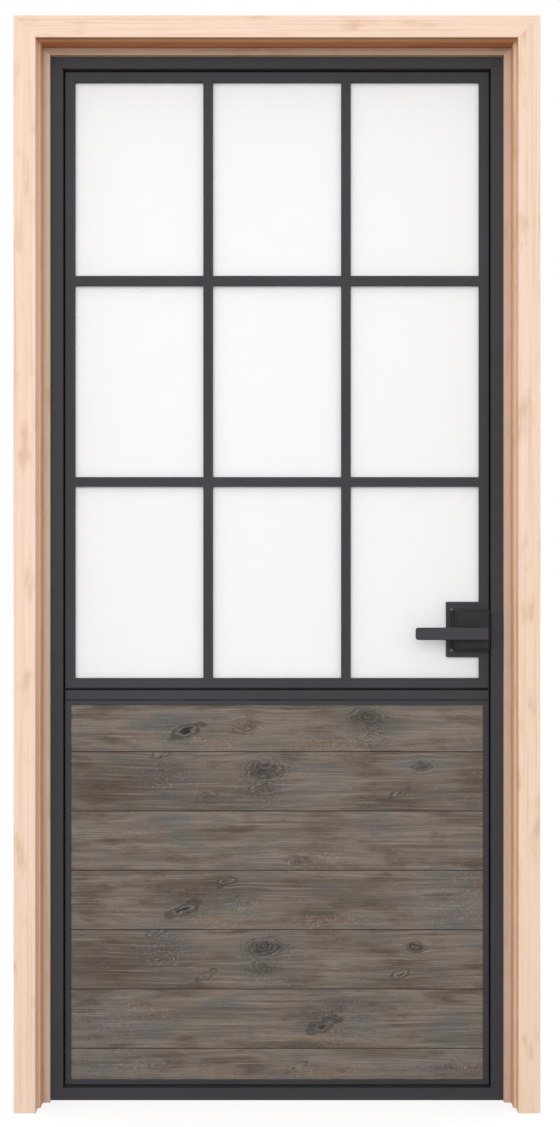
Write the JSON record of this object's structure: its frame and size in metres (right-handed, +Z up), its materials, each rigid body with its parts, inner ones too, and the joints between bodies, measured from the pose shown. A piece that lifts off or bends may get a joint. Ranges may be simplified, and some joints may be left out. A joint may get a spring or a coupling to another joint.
{
  "type": "glass door",
  "caption": "Steel-framed glazed door leaf with a boarded lower panel, lever latch and hinges, in a timber casing.",
  "frame": {"origin": "middle of the threshold on the floor, at mid-depth of the steel frame", "axes": "+Z up, +X towards the lock side, -Y out of the face with the raised lock cover"},
  "size_m": [1.0286, 0.144, 2.1429],
  "materials": {
    "pale_timber": "pale softwood, clear matt finish",
    "frame_steel": "dark grey satin paint",
    "leaf_steel": "dark grey satin paint",
    "lock_steel": "dark grey fine satin coating",
    "frosted_glass": "white, lightly frosted",
    "weathered_wood": "grey-brown weathered boards, matt",
    "backing_board": "plain grey-brown sheet, matt",
    "black_rubber": "matt black seal",
    "zinc_steel": "zinc-plated"
  },
  "bodies": {
    "frame": {"casing_left": "pale_timber", "casing_right": "pale_timber", "casing_head": "pale_timber", "back_casing_left": "pale_timber", "back_casing_right": "pale_timber", "back_casing_head": "pale_timber", "jamb_left": "pale_timber", "jamb_right": "pale_timber", "jamb_head": "pale_timber", "cover_bead_left": "pale_timber", "cover_bead_right": "pale_timber", "cover_bead_head": "pale_timber", "steel_leg_left": "frame_steel", "steel_leg_right": "frame_steel", "steel_head": "frame_steel", "threshold": "frame_steel", "door_seal": "black_rubber", "strike_plate": "zinc_steel", "strike_screws": "zinc_steel", "frame_screws": "zinc_steel", "hinge_frame_halves": "leaf_steel", "hinge_pins": "zinc_steel"},
    "leaf": {"leaf_stile_left": "leaf_steel", "leaf_stile_right": "leaf_steel", "leaf_rail_top": "leaf_steel", "leaf_rail_middle": "leaf_steel", "leaf_rail_bottom": "leaf_steel", "sash_frame": "leaf_steel", "mid_rail_cover": "leaf_steel", "panel_frame": "leaf_steel", "lock_box": "leaf_steel", "glass_row1_col1": "frosted_glass", "glass_row1_col2": "frosted_glass", "glass_row1_col3": "frosted_glass", "glass_row2_col1": "frosted_glass", "glass_row2_col2": "frosted_glass", "glass_row2_col3": "frosted_glass", "glass_row3_col1": "frosted_glass", "glass_row3_col2": "frosted_glass", "glass_row3_col3": "frosted_glass", "plank_1": "weathered_wood", "plank_2": "weathered_wood", "plank_3": "weathered_wood", "plank_4": "weathered_wood", "plank_5": "weathered_wood", "plank_6": "weathered_wood", "plank_7": "weathered_wood", "glazing_beads": "leaf_steel", "panel_backing": "backing_board", "lock_cover": "lock_steel", "lock_screws": "zinc_steel", "lock_body": "zinc_steel", "back_plate": "lock_steel", "hinge_leaf_halves": "leaf_steel"},
    "lever": {"lever_front": "lock_steel", "lever_back": "lock_steel", "spindle": "zinc_steel", "follower": "zinc_steel"},
    "latch": {"latch_bolt": "zinc_steel"}
  },
  "joints": [
    {"name": "leaf_swing", "type": "hinge", "parent": "frame", "child": "leaf", "pos_m": [-0.4395, 0.032, 1.05], "axis": [0, 0, 1], "range_deg": [0, 110]},
    {"name": "lever_turn", "type": "hinge", "parent": "leaf", "child": "lever", "pos_m": [0.4, 0.013, 0.935], "axis": [0, -1, 0], "range_deg": [0, 40], "stiffness_Nm_per_rad": 2, "springref_deg": -22.92},
    {"name": "latch_slide", "type": "slide", "parent": "leaf", "child": "latch", "axis": [-1, 0, 0], "range_m": [0, 0.0112]}
  ],
  "couplings": [
    {"joint": "latch_slide", "follows": "lever_turn", "m_per_rad": 0.0159}
  ]
}
